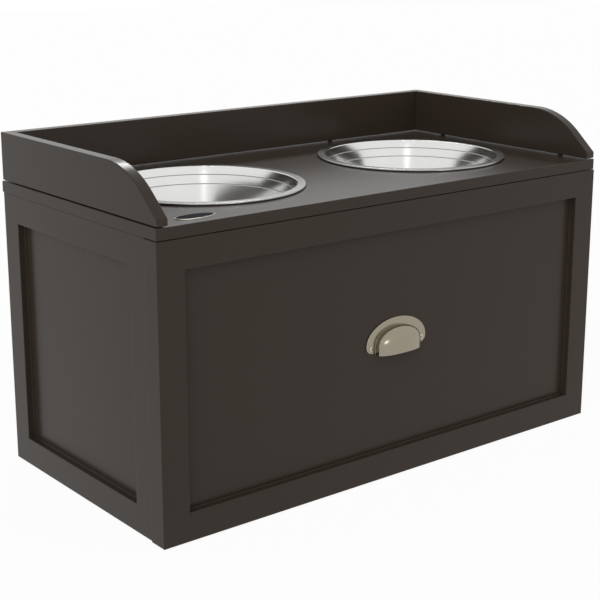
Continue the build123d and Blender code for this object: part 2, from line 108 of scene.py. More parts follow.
class Kind(Enum):
    """Kinds of named input on a Geometry Nodes tree."""

    WHOLE = "NodeSocketInt"
    LENGTH = "NodeSocketFloat"
    PLACE = "NodeSocketVector"
    FINISH = "NodeSocketMaterial"


class MixSocket(Enum):
    """Numbers of the Mix node's sockets when it mixes colours."""

    SHARE = 0
    FIRST = 6
    SECOND = 7
    RESULT = 2


# ---------------------------------------------------------------------------- node graphs
class Graph:
    """A node tree, with short ways to add nodes and join them."""

    def __init__(self, tree: bpy.types.NodeTree) -> None:
        """Wraps the tree to add to."""
        self.tree = tree

    def add(
        self, kind: str, sockets: dict[str | int, object] | None = None, **settings: object
    ) -> bpy.types.Node:
        """Adds a node.

        Args:
            kind: the node's type name.
            sockets: values of its input sockets, or the output sockets to link to them, by name or number.
            settings: the node's own properties.

        Returns:
            The new node.
        """
        node = self.tree.nodes.new(kind)
        for name, value in settings.items():
            setattr(node, name, value)
        for name, value in (sockets or {}).items():
            self.feed(node, name, value)
        return node

    def feed(self, node: bpy.types.Node, name: str | int, value: object) -> None:
        """Sets an input socket to a value, or links an output socket to it.

        Args:
            node: the node that takes the value.
            name: the input socket's name or number.
            value: a plain value or an output socket.
        """
        if isinstance(value, bpy.types.NodeSocket):
            self.tree.links.new(value, node.inputs[name])
        else:
            node.inputs[name].default_value = value

    def maths(self, operation: str, *values: object) -> bpy.types.NodeSocket:
        """Adds a Math node.

        Args:
            operation: the Math node's operation.
            values: its inputs, in order.

        Returns:
            Its output socket.
        """
        node = self.add("ShaderNodeMath", operation=operation)
        for number, value in enumerate(values):
            self.feed(node, number, value)
        return node.outputs[0]

    def blend(self, share: object, first: object, second: object) -> bpy.types.NodeSocket:
        """Adds a colour mix.

        Args:
            share: share of the second colour.
            first: a colour or the socket with one.
            second: a colour or the socket with one.

        Returns:
            The socket with the mixed colour.
        """
        node = self.add("ShaderNodeMix", data_type="RGBA")
        for socket, value in ((MixSocket.SHARE, share), (MixSocket.FIRST, first), (MixSocket.SECOND, second)):
            self.feed(node, socket.value, value)
        return node.outputs[MixSocket.RESULT.value]


class GeometryTree(Graph):
    """A Geometry Nodes tree with named inputs, which ends in Realize Instances and Set Material."""

    def __init__(self, name: str, inputs: dict[str, Kind]) -> None:
        """Makes an empty tree.

        Args:
            name: the tree's name.
            inputs: names and kinds of the inputs after the geometry; one is named Finish.
        """
        super().__init__(bpy.data.node_groups.new(name, "GeometryNodeTree"))
        sockets = self.tree.interface
        sockets.new_socket("Geometry", in_out="INPUT", socket_type="NodeSocketGeometry")
        self.keys: dict[str, str] = {}
        for label, kind in inputs.items():
            self.keys[label] = sockets.new_socket(label, in_out="INPUT", socket_type=kind.value).identifier
        sockets.new_socket("Geometry", in_out="OUTPUT", socket_type="NodeSocketGeometry")
        self.given = self.tree.nodes.new("NodeGroupInput").outputs

    def close(self, geometry: bpy.types.NodeSocket) -> None:
        """Finishes the tree: realized, merged, smooth and in its material.

        Args:
            geometry: the output socket that holds the shape.
        """
        real = self.add("GeometryNodeRealizeInstances", {"Geometry": geometry})
        merged = self.add("GeometryNodeMergeByDistance", {"Geometry": real.outputs[0], "Distance": WELD})
        smooth = self.add("GeometryNodeSetShadeSmooth", {"Geometry": merged.outputs[0]})
        finish = self.given["Finish"]
        dressed = self.add("GeometryNodeSetMaterial", {"Geometry": smooth.outputs[0], "Material": finish})
        self.add("NodeGroupOutput", {"Geometry": dressed.outputs[0]})

    def grow(self, seed: bpy.types.Object, values: dict[str, object], crease: float) -> bpy.types.Object:
        """Runs the tree on an object and keeps the result as a plain mesh.

        Args:
            seed: the object whose mesh the tree starts from.
            values: the tree's inputs by name.
            crease: angle in degrees past which an edge stays sharp.

        Returns:
            The same object, with the plain mesh and no modifier.
        """
        modifier = seed.modifiers.new(self.tree.name, "NODES")
        modifier.node_group = self.tree
        for label, value in values.items():
            modifier[self.keys[label]] = value
        graph = bpy.context.evaluated_depsgraph_get()
        mesh = bpy.data.meshes.new_from_object(seed.evaluated_get(graph), depsgraph=graph)
        seed.modifiers.remove(modifier)
        mesh.name = seed.name
        mesh.set_sharp_from_angle(angle=radians(crease))
        seed.data = mesh
        return seed


def mesh_object(
    name: str, points: Sequence[Place | Vector], edges: Sequence[tuple[int, int]], faces: Sequence[Face]
) -> bpy.types.Object:
    """Makes a mesh object at the origin.

    Args:
        name: the object's name.
        points: its vertices.
        edges: its loose edges.
        faces: its faces.

    Returns:
        The new object, linked to the scene.
    """
    mesh = bpy.data.meshes.new(name)
    mesh.from_pydata(points, edges, faces)
    mesh.validate()
    piece = bpy.data.objects.new(name, mesh)
    bpy.context.scene.collection.objects.link(piece)
    return piece


def place_piece(piece: bpy.types.Object, body: Body, slot: Slot, *nodes: str) -> None:
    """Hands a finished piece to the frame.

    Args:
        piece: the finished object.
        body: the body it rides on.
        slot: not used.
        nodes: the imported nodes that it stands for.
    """
    if nodes:
        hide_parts(*nodes)
    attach(piece, body.value)
    log.info("%s: %d faces, rides on %s", piece.name, len(piece.data.polygons), body.value)


# ---------------------------------------------------------------------------- finishes
@dataclass(frozen=True)
class Finish:
    """A surface: base colour, gloss and a fine grain. Sizes in metres."""

    name: str
    colour: Colour
    roughness: float
    metallic: float = 0.0
    specular: float = 0.5
    grain_scale: float = 900.0  # grains per metre
    grain_height: float = 0.00002
    grain_detail: float = 3.0
    grain_coarseness: float = 0.55
    cloud_scale: float = 9.0  # slow changes per metre
    cloud_detail: float = 2.0
    tone_change: float = 0.06  # change of brightness over the piece
    grain_share: float = 0.5  # how much of it the grain gives; the slow changes give the rest
    gloss_low: float = 0.85  # least roughness on the piece, against its own
    gloss_swing: float = 0.3  # from the least roughness to the most

    def stretch(self) -> Vector:
        """How the grain is drawn out along each axis."""
        return Vector((1.0, 1.0, 1.0))

    def place(self, graph: Graph) -> bpy.types.NodeSocket:
        """Coordinates that the grain reads.

        Args:
            graph: the material's node graph.

        Returns:
            The socket with the place on the piece.
        """
        spot = graph.add("ShaderNodeTexCoord").outputs["Object"]
        mapping = graph.add("ShaderNodeMapping", {"Vector": spot, "Scale": self.stretch()})
        return mapping.outputs["Vector"]

    def normal(self, graph: Graph, grain: bpy.types.NodeSocket) -> bpy.types.NodeSocket:
        """Normal with the relief of the grain, from the socket with the grain's height."""
        bump = graph.add("ShaderNodeBump", {"Strength": 1.0, "Distance": self.grain_height, "Height": grain})
        return bump.outputs["Normal"]

    def material(self) -> bpy.types.Material:
        """Builds the material.

        Returns:
            The new material.
        """
        made = bpy.data.materials.new(self.name)
        made.use_nodes = True
        graph = Graph(made.node_tree)
        shader = made.node_tree.nodes["Principled BSDF"]
        shader.inputs["Metallic"].default_value = self.metallic
        shader.inputs["Specular IOR Level"].default_value = self.specular
        spot = self.place(graph)
        fine = {"Scale": self.grain_scale, "Detail": self.grain_detail, "Roughness": self.grain_coarseness}
        grain = graph.add("ShaderNodeTexNoise", {"Vector": spot} | fine).outputs["Fac"]
        slow = {"Scale": self.cloud_scale, "Detail": self.cloud_detail}
        cloud = graph.add("ShaderNodeTexNoise", {"Vector": spot} | slow).outputs["Fac"]
        self.tint(graph, shader, grain, cloud)
        graph.feed(shader, "Normal", self.normal(graph, grain))
        return made

    def tint(
        self,
        graph: Graph,
        shader: bpy.types.Node,
        grain: bpy.types.NodeSocket,
        cloud: bpy.types.NodeSocket,
    ) -> None:
        """Colours the surface and varies its gloss.

        Args:
            graph: the material's node graph.
            shader: the Principled shader.
            grain: the socket with the fine grain.
            cloud: the socket with the slow variation.
        """
        dark = [value * (1.0 - self.tone_change) for value in self.colour] + [1.0]
        light = [value * (1.0 + self.tone_change) for value in self.colour] + [1.0]
        from_grain = graph.maths("MULTIPLY", grain, self.grain_share)
        from_cloud = graph.maths("MULTIPLY", cloud, 1.0 - self.grain_share)
        share = graph.maths("ADD", from_grain, from_cloud)
        graph.feed(shader, "Base Color", graph.blend(share, dark, light))
        graph.feed(shader, "Roughness", self.gloss(graph, share))

    def gloss(self, graph: Graph, share: bpy.types.NodeSocket) -> bpy.types.NodeSocket:
        """Roughness that swings about the finish's own, as far as the share says."""
        swing, low = self.roughness * self.gloss_swing, self.roughness * self.gloss_low
        return graph.maths("MULTIPLY_ADD", share, swing, low)


@dataclass(frozen=True)
class Lacquer(Finish):
    """Sprayed satin lacquer on board, with softened edges."""

    edge_radius: float = 0.0012
    edge_samples: int = 4

    def normal(self, graph: Graph, grain: bpy.types.NodeSocket) -> bpy.types.NodeSocket:
        """Relief of the spray on rounded edges.

        Args:
            graph: the material's node graph.
            grain: the socket with the grain's height.

        Returns:
            The socket with the bumped normal.
        """
        edge = graph.add("ShaderNodeBevel", {"Radius": self.edge_radius}, samples=self.edge_samples)
        relief = {"Strength": 1.0, "Distance": self.grain_height, "Height": grain}
        return graph.add("ShaderNodeBump", relief | {"Normal": edge.outputs["Normal"]}).outputs["Normal"]


@dataclass(frozen=True)
class Brushed(Finish):
    """Metal brushed along one axis."""

    axis: int = 0
    draw: float = 0.04  # scale along the brushing, against 1 across it

    def stretch(self) -> Vector:
        """How the brushing is drawn out."""
        return Vector([self.draw if n == self.axis else 1.0 for n in range(3)])


@dataclass(frozen=True)
class Spun(Finish):
    """Sheet polished on a lathe: bright in the bowl, satin on the rim, rougher in the fine grooves, where
    painted shade darkens the colour.
    """

    centre: Place = (0.0, 0.0, 0.0)
    rim_from: float = 0.1
    rim_tone: float = 0.5
    rim_roughness: float = 0.22
    grooves: tuple[float, ...] = ()
    # painted shade: share of the colour left in a groove, standing in for the shade that the groove holds
    groove_half_width: float = 0.0006
    groove_shade_tone: float = 0.25
    groove_dulling: float = 0.3  # roughness added in a groove

    def place(self, graph: Graph) -> bpy.types.NodeSocket:
        """Coordinates that change only with the distance from the axis and the height.

        Args:
            graph: the material's node graph.

        Returns:
            The socket with (distance from the axis, 0, height over the rim's top).
        """
        spot = graph.add("ShaderNodeTexCoord").outputs["Object"]
        offset = [-value for value in self.centre]
        moved = graph.add("ShaderNodeMapping", {"Vector": spot, "Location": offset}).outputs["Vector"]
        parts = graph.add("ShaderNodeSeparateXYZ", {"Vector": moved}).outputs
        flat = graph.add("ShaderNodeCombineXYZ", {"X": parts["X"], "Y": parts["Y"]}).outputs["Vector"]
        across = graph.add("ShaderNodeVectorMath", {0: flat}, operation="LENGTH").outputs["Value"]
        return graph.add("ShaderNodeCombineXYZ", {"X": across, "Z": parts["Z"]}).outputs["Vector"]

    def tint(
        self,
        graph: Graph,
        shader: bpy.types.Node,
        grain: bpy.types.NodeSocket,
        cloud: bpy.types.NodeSocket,
    ) -> None:
        """Colours the polished bowl and the satin rim, paints shade into the grooves as a darker colour and
        makes them rougher.

        Args:
            graph: the material's node graph.
            shader: the Principled shader.
            grain: the socket with the fine grain.
            cloud: not used; polished steel doesn't show the slow variation.
        """
        parts = graph.add("ShaderNodeSeparateXYZ", {"Vector": self.place(graph)}).outputs
        rim = graph.maths("GREATER_THAN", parts["X"], self.rim_from)
        # Mask of the grooves, where shade is painted into the colour below.
        mark = 0.0
        for depth in self.grooves:
            away = graph.maths("ABSOLUTE", graph.maths("ADD", parts["Z"], depth))
            near = graph.maths("SUBTRACT", 1.0, graph.maths("DIVIDE", away, self.groove_half_width))
            mark = graph.maths("MAXIMUM", mark, near)
        groove = graph.maths("MULTIPLY", mark, graph.maths("SUBTRACT", 1.0, rim))
        polished = list(self.colour) + [1.0]
        satin = [value * self.rim_tone for value in self.colour] + [1.0]
        # painted shade: the darker colour of the grooves
        painted_groove_shade = [value * self.groove_shade_tone for value in self.colour] + [1.0]
        graph.feed(shader, "Base Color", graph.blend(groove, graph.blend(rim, polished, satin), painted_groove_shade))
        polish = self.gloss(graph, grain)
        worn = graph.maths("MULTIPLY_ADD", rim, self.rim_roughness - self.roughness, polish)
        graph.feed(shader, "Roughness", graph.maths("MULTIPLY_ADD", groove, self.groove_dulling, worn))


SATIN_LACQUER = Lacquer("satin_lacquer", (0.0310, 0.0232, 0.0172), 0.26, specular=0.15, grain_height=0.00001)
THIN_LACQUER = Lacquer("thin_lacquer", (0.0275, 0.0210, 0.0158), 0.5, specular=0.2)
FIBRE_BACK = Finish(
    "fibre_back", (0.034, 0.026, 0.019), 0.7, specular=0.2, grain_height=0.00005, tone_change=0.15
)
SPUN_STEEL = Spun(
    "spun_steel", (0.74, 0.74, 0.73), 0.17, metallic=1.0, grain_scale=1400.0, grain_height=0.0000003
)
SATIN_NICKEL = Brushed("satin_nickel", (0.30, 0.27, 0.21), 0.2, metallic=1.0, grain_height=0.000003)
BRIGHT_NICKEL = Finish("bright_nickel", (0.50, 0.48, 0.43), 0.22, metallic=1.0, grain_scale=1500.0)
PLATED_ZINC = Finish(
    "plated_zinc", (0.62, 0.62, 0.60), 0.3, metallic=1.0, grain_scale=1500.0, tone_change=0.12
)
BAKED_ENAMEL = Finish("baked_enamel", (0.030, 0.022, 0.017), 0.35, specular=0.4, grain_scale=1600.0)
WHITE_NYLON = Finish("white_nylon", (0.78, 0.78, 0.76), 0.45, grain_scale=1200.0)
DARK_POLYPROPYLENE = Finish("dark_polypropylene", (0.03, 0.03, 0.03), 0.5, grain_scale=1400.0)
BARE_BEECH = Brushed(
    "bare_beech", (0.55, 0.38, 0.22), 0.65, specular=0.3, grain_height=0.00005, tone_change=0.15
)
PLATE_FIELD = Finish("dark_plate_field", (0.022, 0.023, 0.026), 0.75, specular=0.02, grain_scale=1800.0)

SLOT_FINISHES = {
    Slot.LACQUERED_BOARD: SATIN_LACQUER,
    Slot.INNER_BOARD: THIN_LACQUER,
    Slot.BACK_BOARD: FIBRE_BACK,
    Slot.PULL_NICKEL: SATIN_NICKEL,
    Slot.ZINC_STEEL: PLATED_ZINC,
    Slot.RUNNER_ENAMEL: BAKED_ENAMEL,
    Slot.ROLLER_NYLON: WHITE_NYLON,
    Slot.GLIDE_PLASTIC: DARK_POLYPROPYLENE,
    Slot.DOWEL_WOOD: BARE_BEECH,
}


class Finishes:
    """Materials that more than one piece may take, made once."""

    def __init__(self) -> None:
        """Makes the materials."""
        self.bright_nickel = BRIGHT_NICKEL.material()
        self.plate_field = PLATE_FIELD.material()
        self.by_slot = {slot: finish.material() for slot, finish in SLOT_FINISHES.items()}


# ---------------------------------------------------------------------------- packed boards and fittings
@dataclass
class Carcass:
    """Boards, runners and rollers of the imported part, which keep their shapes."""

    finishes: Finishes

    def dress(self) -> None:
        """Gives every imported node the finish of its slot."""
        for name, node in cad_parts.items():
            for holder in node.material_slots:
                finish = self.finishes.by_slot.get(Slot(holder.material.name.split(".")[0]))
                if finish:
                    holder.material = finish
            log.info("%s: dressed", name)


# ---------------------------------------------------------------------------- bowls
@dataclass
class Corner:
    """Corner of a lathed section: distance from the axis, height, and radius of its rounding."""

    across: float
    height: float
    radius: float = 0.0


@dataclass
class Bowl:
    """Spun steel bowl: rolled rim, sloping wall with two fine grooves, rounded heel. Sizes in millimetres."""

    body: Body
    rim_radius: float = 109.3
    flange: float = 9.5
    bead_height: float = 2.6
    bead_width: float = 2.4
    depth: float = 60.0
    sheet: float = 0.8
    wall_slope: float = 0.345  # at the rim, across for each millimetre down
    wall_bend: float = 0.0043  # loss of slope for each millimetre down
    bend_depth: float = 20.0  # from here down the wall is straight
    wall_step: float = 2.0
    grooves: tuple[float, float] = (9.0, 19.0)
    groove_width: float = 1.1
    groove_depth: float = 0.4
    groove_round: float = 0.15
    heel_round: float = 14.0
    lip_round: float = 1.2
    support: float = 0.12
    arc_pieces: int = 6
    turn_pieces: int = 192
    crease: float = 60.0  # in degrees

    def wall(self, depth: float) -> float:
        """Measures the wall's inside.

        Args:
            depth: how far below the rim's top.

        Returns:
            Its distance from the axis there.
        """
        curved = min(depth, self.bend_depth)
        slope = self.wall_slope - self.wall_bend * curved
        radius = self.rim_radius - self.flange - (self.wall_slope + slope) / 2 * curved
        return radius - slope * (depth - curved)

    def groove(self, depth: float) -> list[Corner]:
        """Draws one fine groove in the inside.

        Args:
            depth: the groove's depth below the rim's top.

        Returns:
            Its corners, from its lower edge up.
        """
        half = self.groove_width / 2
        return [
            Corner(self.wall(depth + half), -depth - half, self.groove_round / 2),
            Corner(self.wall(depth) + self.groove_depth, -depth, self.groove_round),
            Corner(self.wall(depth - half), half - depth, self.groove_round / 2),
        ]

    def inside(self) -> list[Corner]:
        """Draws the inside, the rim and its bead.

        Returns:
            Corners from the floor's middle out over the rim and under its bead.
        """
        corners = [Corner(0.0, -self.depth), Corner(self.wall(self.depth), -self.depth, self.heel_round)]
        depth = self.bend_depth
        while depth > self.wall_step:
            if all(abs(depth - groove) > self.groove_width for groove in self.grooves):
                corners.append(Corner(self.wall(depth), -depth))
            for groove in self.grooves:
                if depth >= groove > depth - self.wall_step:
                    corners += self.groove(groove)
            depth -= self.wall_step
        bead = self.bead_height / 2 - 2 * self.support
        corners.append(Corner(self.wall(0.0), 0.0, self.lip_round))
        corners.append(Corner(self.rim_radius, 0.0, bead))
        corners.append(Corner(self.rim_radius, -self.bead_height, bead))
        corners.append(Corner(self.rim_radius - self.bead_width, -self.bead_height))
        return corners

    def outside(self) -> list[Corner]:
        """Draws the outside.

        Returns:
            Corners from the floor's middle out to the back of the bead.
        """
        low = self.depth + self.sheet
        return [
            Corner(0.0, -low),
            Corner(self.wall(self.depth) + self.sheet, -low, self.heel_round + self.sheet),
            Corner(self.wall(self.bend_depth) + self.sheet, -self.bend_depth),
            Corner(self.wall(self.bend_depth / 2) + self.sheet, -self.bend_depth / 2),
            Corner(self.wall(0.0) + self.sheet, -self.sheet, self.lip_round / 2),
            Corner(self.rim_radius - self.bead_width, -self.sheet),
        ]

    def rounded(self, corners: list[Corner]) -> list[Point]:
        """Rounds a section's corners, with a support point beside each arc.

        Args:
            corners: the section's corners in order.

        Returns:
            Points of the section.
        """
        points = [(corners[0].across, corners[0].height)]
        for before, corner, after in zip(corners, corners[1:], corners[2:]):
            here = Vector((corner.across, corner.height))
            back = (Vector((before.across, before.height)) - here).normalized()
            on = (Vector((after.across, after.height)) - here).normalized()
            if not corner.radius:
                points.append(tuple(here))
                continue
            turn = pi - acos(max(-1.0, min(1.0, back.dot(on))))
            reach = corner.radius * tan(turn / 2)
            start, end = here + back * reach, here + on * reach
            centre = here + (back + on).normalized() * (corner.radius / cos(turn / 2))
            low, high = start - centre, end - centre
            points.append(tuple(start + back * self.support))
            for n in range(self.arc_pieces + 1):
                share = n / self.arc_pieces
                weight = sin((1 - share) * turn) / sin(turn), sin(share * turn) / sin(turn)
                points.append(tuple(centre + low * weight[0] + high * weight[1]))
            points.append(tuple(end + on * self.support))
        points.append((corners[-1].across, corners[-1].height))
        return points

    def section(self) -> list[Point]:
        """Whole section of the sheet, from the middle of the floor out, round the bead and back under it."""
        return self.rounded(self.inside()) + self.rounded(self.outside())[::-1]

    @staticmethod
    def lathe() -> GeometryTree:
        """Tree that turns a section round an upright axis.

        Returns:
            The tree, with the inputs Radius, Pieces, Centre and Finish.
        """
        inputs = {"Radius": Kind.LENGTH, "Pieces": Kind.WHOLE, "Centre": Kind.PLACE, "Finish": Kind.FINISH}
        tree = GeometryTree("lathe", inputs)
        given = tree.given
        section = tree.add("GeometryNodeMeshToCurve", {"Mesh": given["Geometry"]}).outputs["Curve"]
        turn = {"Resolution": given["Pieces"], "Radius": given["Radius"]}
        path = tree.add("GeometryNodeCurvePrimitiveCircle", turn).outputs["Curve"]
        sheet = tree.add("GeometryNodeCurveToMesh", {"Curve": path, "Profile Curve": section}).outputs["Mesh"]
        placed = tree.add("GeometryNodeTransform", {"Geometry": sheet, "Translation": given["Centre"]})
        tree.close(placed.outputs["Geometry"])
        return tree

    def build(self, tree: GeometryTree) -> bpy.types.Object:
        """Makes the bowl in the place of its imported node.

        Args:
            tree: the lathe.

        Returns:
            The finished bowl.
        """
        low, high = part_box(self.body.value)
        centre = ((low[0] + high[0]) / 2, (low[1] + high[1]) / 2, high[2])
        radius = self.rim_radius * MM
        points = [(across * MM - radius, -height * MM, 0.0) for across, height in self.section()]
        edges = [(n, n + 1) for n in range(len(points) - 1)]
        seed = mesh_object("spun_" + self.body.value, points, edges, [])
        steel = replace(
            SPUN_STEEL,
            name="steel_of_" + self.body.value,
            centre=centre,
            rim_from=(self.wall(0.0) + self.lip_round / 2) * MM,
            grooves=tuple(depth * MM for depth in self.grooves),
        ).material()
        values = {"Radius": radius, "Pieces": self.turn_pieces, "Centre": centre, "Finish": steel}
        bowl = tree.grow(seed, values, self.crease)
        place_piece(bowl, self.body, Slot.BOWL_STEEL, self.body.value)
        return bowl


# ---------------------------------------------------------------------------- cup pull
def half_circle(pieces: int) -> list[float]:
    """Angles that cut a half circle into pieces, from the left end over the top."""
    return [pi * (1 - n / pieces) for n in range(pieces + 1)]


def quarter_circle(pieces: int) -> list[float]:
    """Angles that cut a quarter circle into pieces, from 0 up."""
    return [radians(90 * n / pieces) for n in range(pieces + 1)]


@dataclass
class CupPull:
    """Cup pull: an arched plate and a domed cup, open below. Sizes in millimetres."""

    plate_half_width: float = 42.0
    plate_arch: float = 26.6
    plate_foot: float = 8.0
    plate_corner: float = 7.6
    plate_middle: float = 5.0
    plate_thickness: float = 1.6
    plate_ease: float = 0.6
    half_width: float = 29.5
    rise: float = 18.3
    drop: float = 10.0
    wall_depth: float = 6.4
    depth: float = 14.0
    wall: float = 1.4
    flare: float = 0.3
    foot_sink: float = 0.5  # share of the plate's thickness that the cup reaches into it
    band_height: float = 0.7  # where the wall's one band ends, against the wall's depth
    crown_power: float = 2.6  # how flat the middle of the front is
    edge_power: float = 1.7  # how full its border is
    arch_pieces: int = 72
    foot_pieces: int = 6
    flare_pieces: int = 6
    crown_pieces: int = 26
    plate_pieces: int = 96
    corner_pieces: int = 10
    ease_pieces: int = 4
    crease: float = 38.0  # in degrees

    def border(self, spread: float) -> list[tuple[Point, Point]]:
        """Draws the cup's outline, each point with the one that it closes in on.

        Args:
            spread: how far the outline stands outside the cup's own.

        Returns:
            Pairs of (outline point, inner point), from the left end of the lip over the arch to the right.
        """
        wide, tall = self.half_width + spread, self.rise + spread
        foot = [-self.drop * (1 - n / self.foot_pieces) for n in range(self.foot_pieces)]
        left = [((-wide, v), (0.0, v)) for v in foot]
        arch = [((wide * cos(turn), tall * sin(turn)), (0.0, 0.0)) for turn in half_circle(self.arch_pieces)]
        right = [((wide, v), (0.0, v)) for v in foot[::-1]]
        return left + arch + right

    def crown(self, share: float, spread: float) -> float:
        """Measures the domed front, which is upright at its border.

        Args:
            share: share of the way from its middle to its border.
            spread: how far this skin stands outside the cup's own.

        Returns:
            How far out from the panel it is there.
        """
        top = self.depth + spread
        low = self.wall_depth + spread
        return low + (top - low) * (1 - share**self.crown_power) ** (1 / self.edge_power)

    def rings(self, spread: float) -> list[Ring]:
        """Draws one skin of the cup.

        Args:
            spread: 0 for the outside, minus the wall for the inside.

        Returns:
            Rings of points (across, up, out from the panel), from the plate out to the middle of the front.
        """
        outside = spread == 0
        bands = [(self.flare if outside else 0.0, self.plate_thickness * self.foot_sink)]
        if outside:
            for turn in quarter_circle(self.flare_pieces):
                out = self.plate_thickness + self.flare * (1 - cos(turn))
                bands.append((self.flare * (1 - sin(turn)), out))
        bands.append((0.0, self.wall_depth * self.band_height + spread))
        rings = []
        for grow, out in bands:
            rings.append([Vector((u, v, out)) for (u, v), _ in self.border(spread + grow)])
        edge = self.border(spread)
        shares = [cos(pi / 2 * n / self.crown_pieces) for n in range(self.crown_pieces)] + [0.0]
        for share in shares:
            out = self.crown(share, spread)
            ring = []
            for (u, v), (mid_u, mid_v) in edge:
                ring.append(Vector((mid_u + (u - mid_u) * share, mid_v + (v - mid_v) * share, out)))
            rings.append(ring)
        return rings

    def plate_outline(self) -> list[Point]:
        """Draws the plate's edge.

        Returns:
            Points from the left end over the arch and back round the two lower corners.
        """
        outline = []
        for turn in half_circle(self.plate_pieces):
            outline.append((self.plate_half_width * cos(turn), self.plate_arch * sin(turn)))
        rounding = self.plate_corner
        low = -self.plate_foot + rounding
        for side in (1, -1):
            mid = side * (self.plate_half_width - rounding)
            sweep = quarter_circle(self.corner_pieces)
            corner = [(mid + side * rounding * cos(turn), low - rounding * sin(turn)) for turn in sweep]
            outline += corner if side == 1 else corner[::-1]
        return outline

    def plate(self) -> list[Ring]:
        """Draws the plate.

        Returns:
            Rings from the middle of its back round its edge to the middle of its front.
        """
        outline = self.plate_outline()
        shoulder = self.plate_thickness - self.plate_ease
        levels = [(0.0, 0.0), (0.0, shoulder)]
        for turn in quarter_circle(self.ease_pieces)[1:]:
            out = self.plate_thickness - self.plate_ease * (1 - sin(turn))
            levels.append((self.plate_ease * (1 - cos(turn)), out))
        middle = Vector((0.0, self.plate_middle))
        rings = [[Vector((0.0, self.plate_middle, 0.0))] * len(outline)]
        for inset, out in levels:
            ring = []
            for u, v in outline:
                spoke = middle - Vector((u, v))
                ring.append(Vector((u, v, out)) + (spoke.normalized() * inset).to_3d())
            rings.append(ring)
        rings.append([Vector((0.0, self.plate_middle, self.plate_thickness))] * len(outline))
        return rings

    @staticmethod
    def stitch(rings: list[Ring], first: int, closed: bool, turned: bool) -> list[Face]:
        """Joins rings with faces.

        Args:
            rings: rings of points, all of one length.
            first: number of the first point.
            closed: whether each ring closes on itself.
            turned: whether the faces are turned over.

        Returns:
            The faces.
        """
        count = len(rings[0])
        faces = []
        for row in range(len(rings) - 1):
            for n in range(count if closed else count - 1):
                a = first + row * count + n
                b = first + row * count + (n + 1) % count
                face = [a, b, b + count, a + count]
                faces.append(face[::-1] if turned else face)
        return faces

    def build(self, finishes: Finishes) -> bpy.types.Object:
        """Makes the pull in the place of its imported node.

        Args:
            finishes: the materials.

        Returns:
            The finished pull.
        """
        low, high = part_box("cup_pull")
        origin = Vector(((low[0] + high[0]) / 2, high[1], high[2] - self.plate_arch * MM))
        points, faces = [], []
        plate = self.plate()
        faces += self.stitch(plate, 0, closed=True, turned=False)
        points += [point for ring in plate for point in ring]
        outside, inside = self.rings(0.0), self.rings(-self.wall)
        start = len(points)
        faces += self.stitch(outside, start, closed=False, turned=False)
        points += [point for ring in outside for point in ring]
        start_inside = len(points)
        faces += self.stitch(inside, start_inside, closed=False, turned=True)
        points += [point for ring in inside for point in ring]
        faces += self.lip_faces(outside, start, inside, start_inside)
        placed = [origin + Vector((p.x, -p.z, p.y)) * MM for p in points]
        pull = mesh_object("nickel_cup_pull", placed, [], faces)
        self.tidy(pull)
        pull.data.materials.append(finishes.by_slot[Slot.PULL_NICKEL])
        place_piece(pull, Body.DRAWER, Slot.PULL_NICKEL, "cup_pull")
        return pull

    @staticmethod
    def lip_faces(outside: list[Ring], start: int, inside: list[Ring], start_inside: int) -> list[Face]:
        """Closes the lip and the foot between the two skins.

        Args:
            outside: rings of the outer skin.
            start: number of its first point.
            inside: rings of the inner skin.
            start_inside: number of its first point.

        Returns:
            The faces.
        """
        count = len(outside[0])
        faces = []
        for n in range(count - 1):
            faces.append([start + n + 1, start + n, start_inside + n, start_inside + n + 1])
        rows_out = [start + row * count for row in range(len(outside))]
        rows_in = [start_inside + row * count for row in range(len(inside))]
        rim_out = rows_out + [row + count - 1 for row in rows_out[-2::-1]]
        rim_in = rows_in + [row + count - 1 for row in rows_in[-2::-1]]
        a = b = 0
        while a < len(rim_out) - 1 or b < len(rim_in) - 1:
            ahead_a = (a + 1) / (len(rim_out) - 1)
            ahead_b = (b + 1) / (len(rim_in) - 1)
            if b == len(rim_in) - 1 or (a < len(rim_out) - 1 and ahead_a <= ahead_b):
                faces.append([rim_out[a], rim_out[a + 1], rim_in[b]])
                a += 1
            else:
                faces.append([rim_out[a], rim_in[b + 1], rim_in[b]])
                b += 1
        return faces

    def tidy(self, pull: bpy.types.Object) -> None:
        """Merges the poles, turns every face outwards and keeps the edges crisp.

        Args:
            pull: the pull's object.
        """
        shape = bmesh.new()
        shape.from_mesh(pull.data)
        bmesh.ops.remove_doubles(shape, verts=shape.verts, dist=WELD)
        bmesh.ops.dissolve_degenerate(shape, dist=SLIVER, edges=shape.edges)
        bmesh.ops.recalc_face_normals(shape, faces=shape.faces)
        shape.to_mesh(pull.data)
        shape.free()
        pull.data.shade_smooth()
        pull.data.set_sharp_from_angle(angle=radians(self.crease))


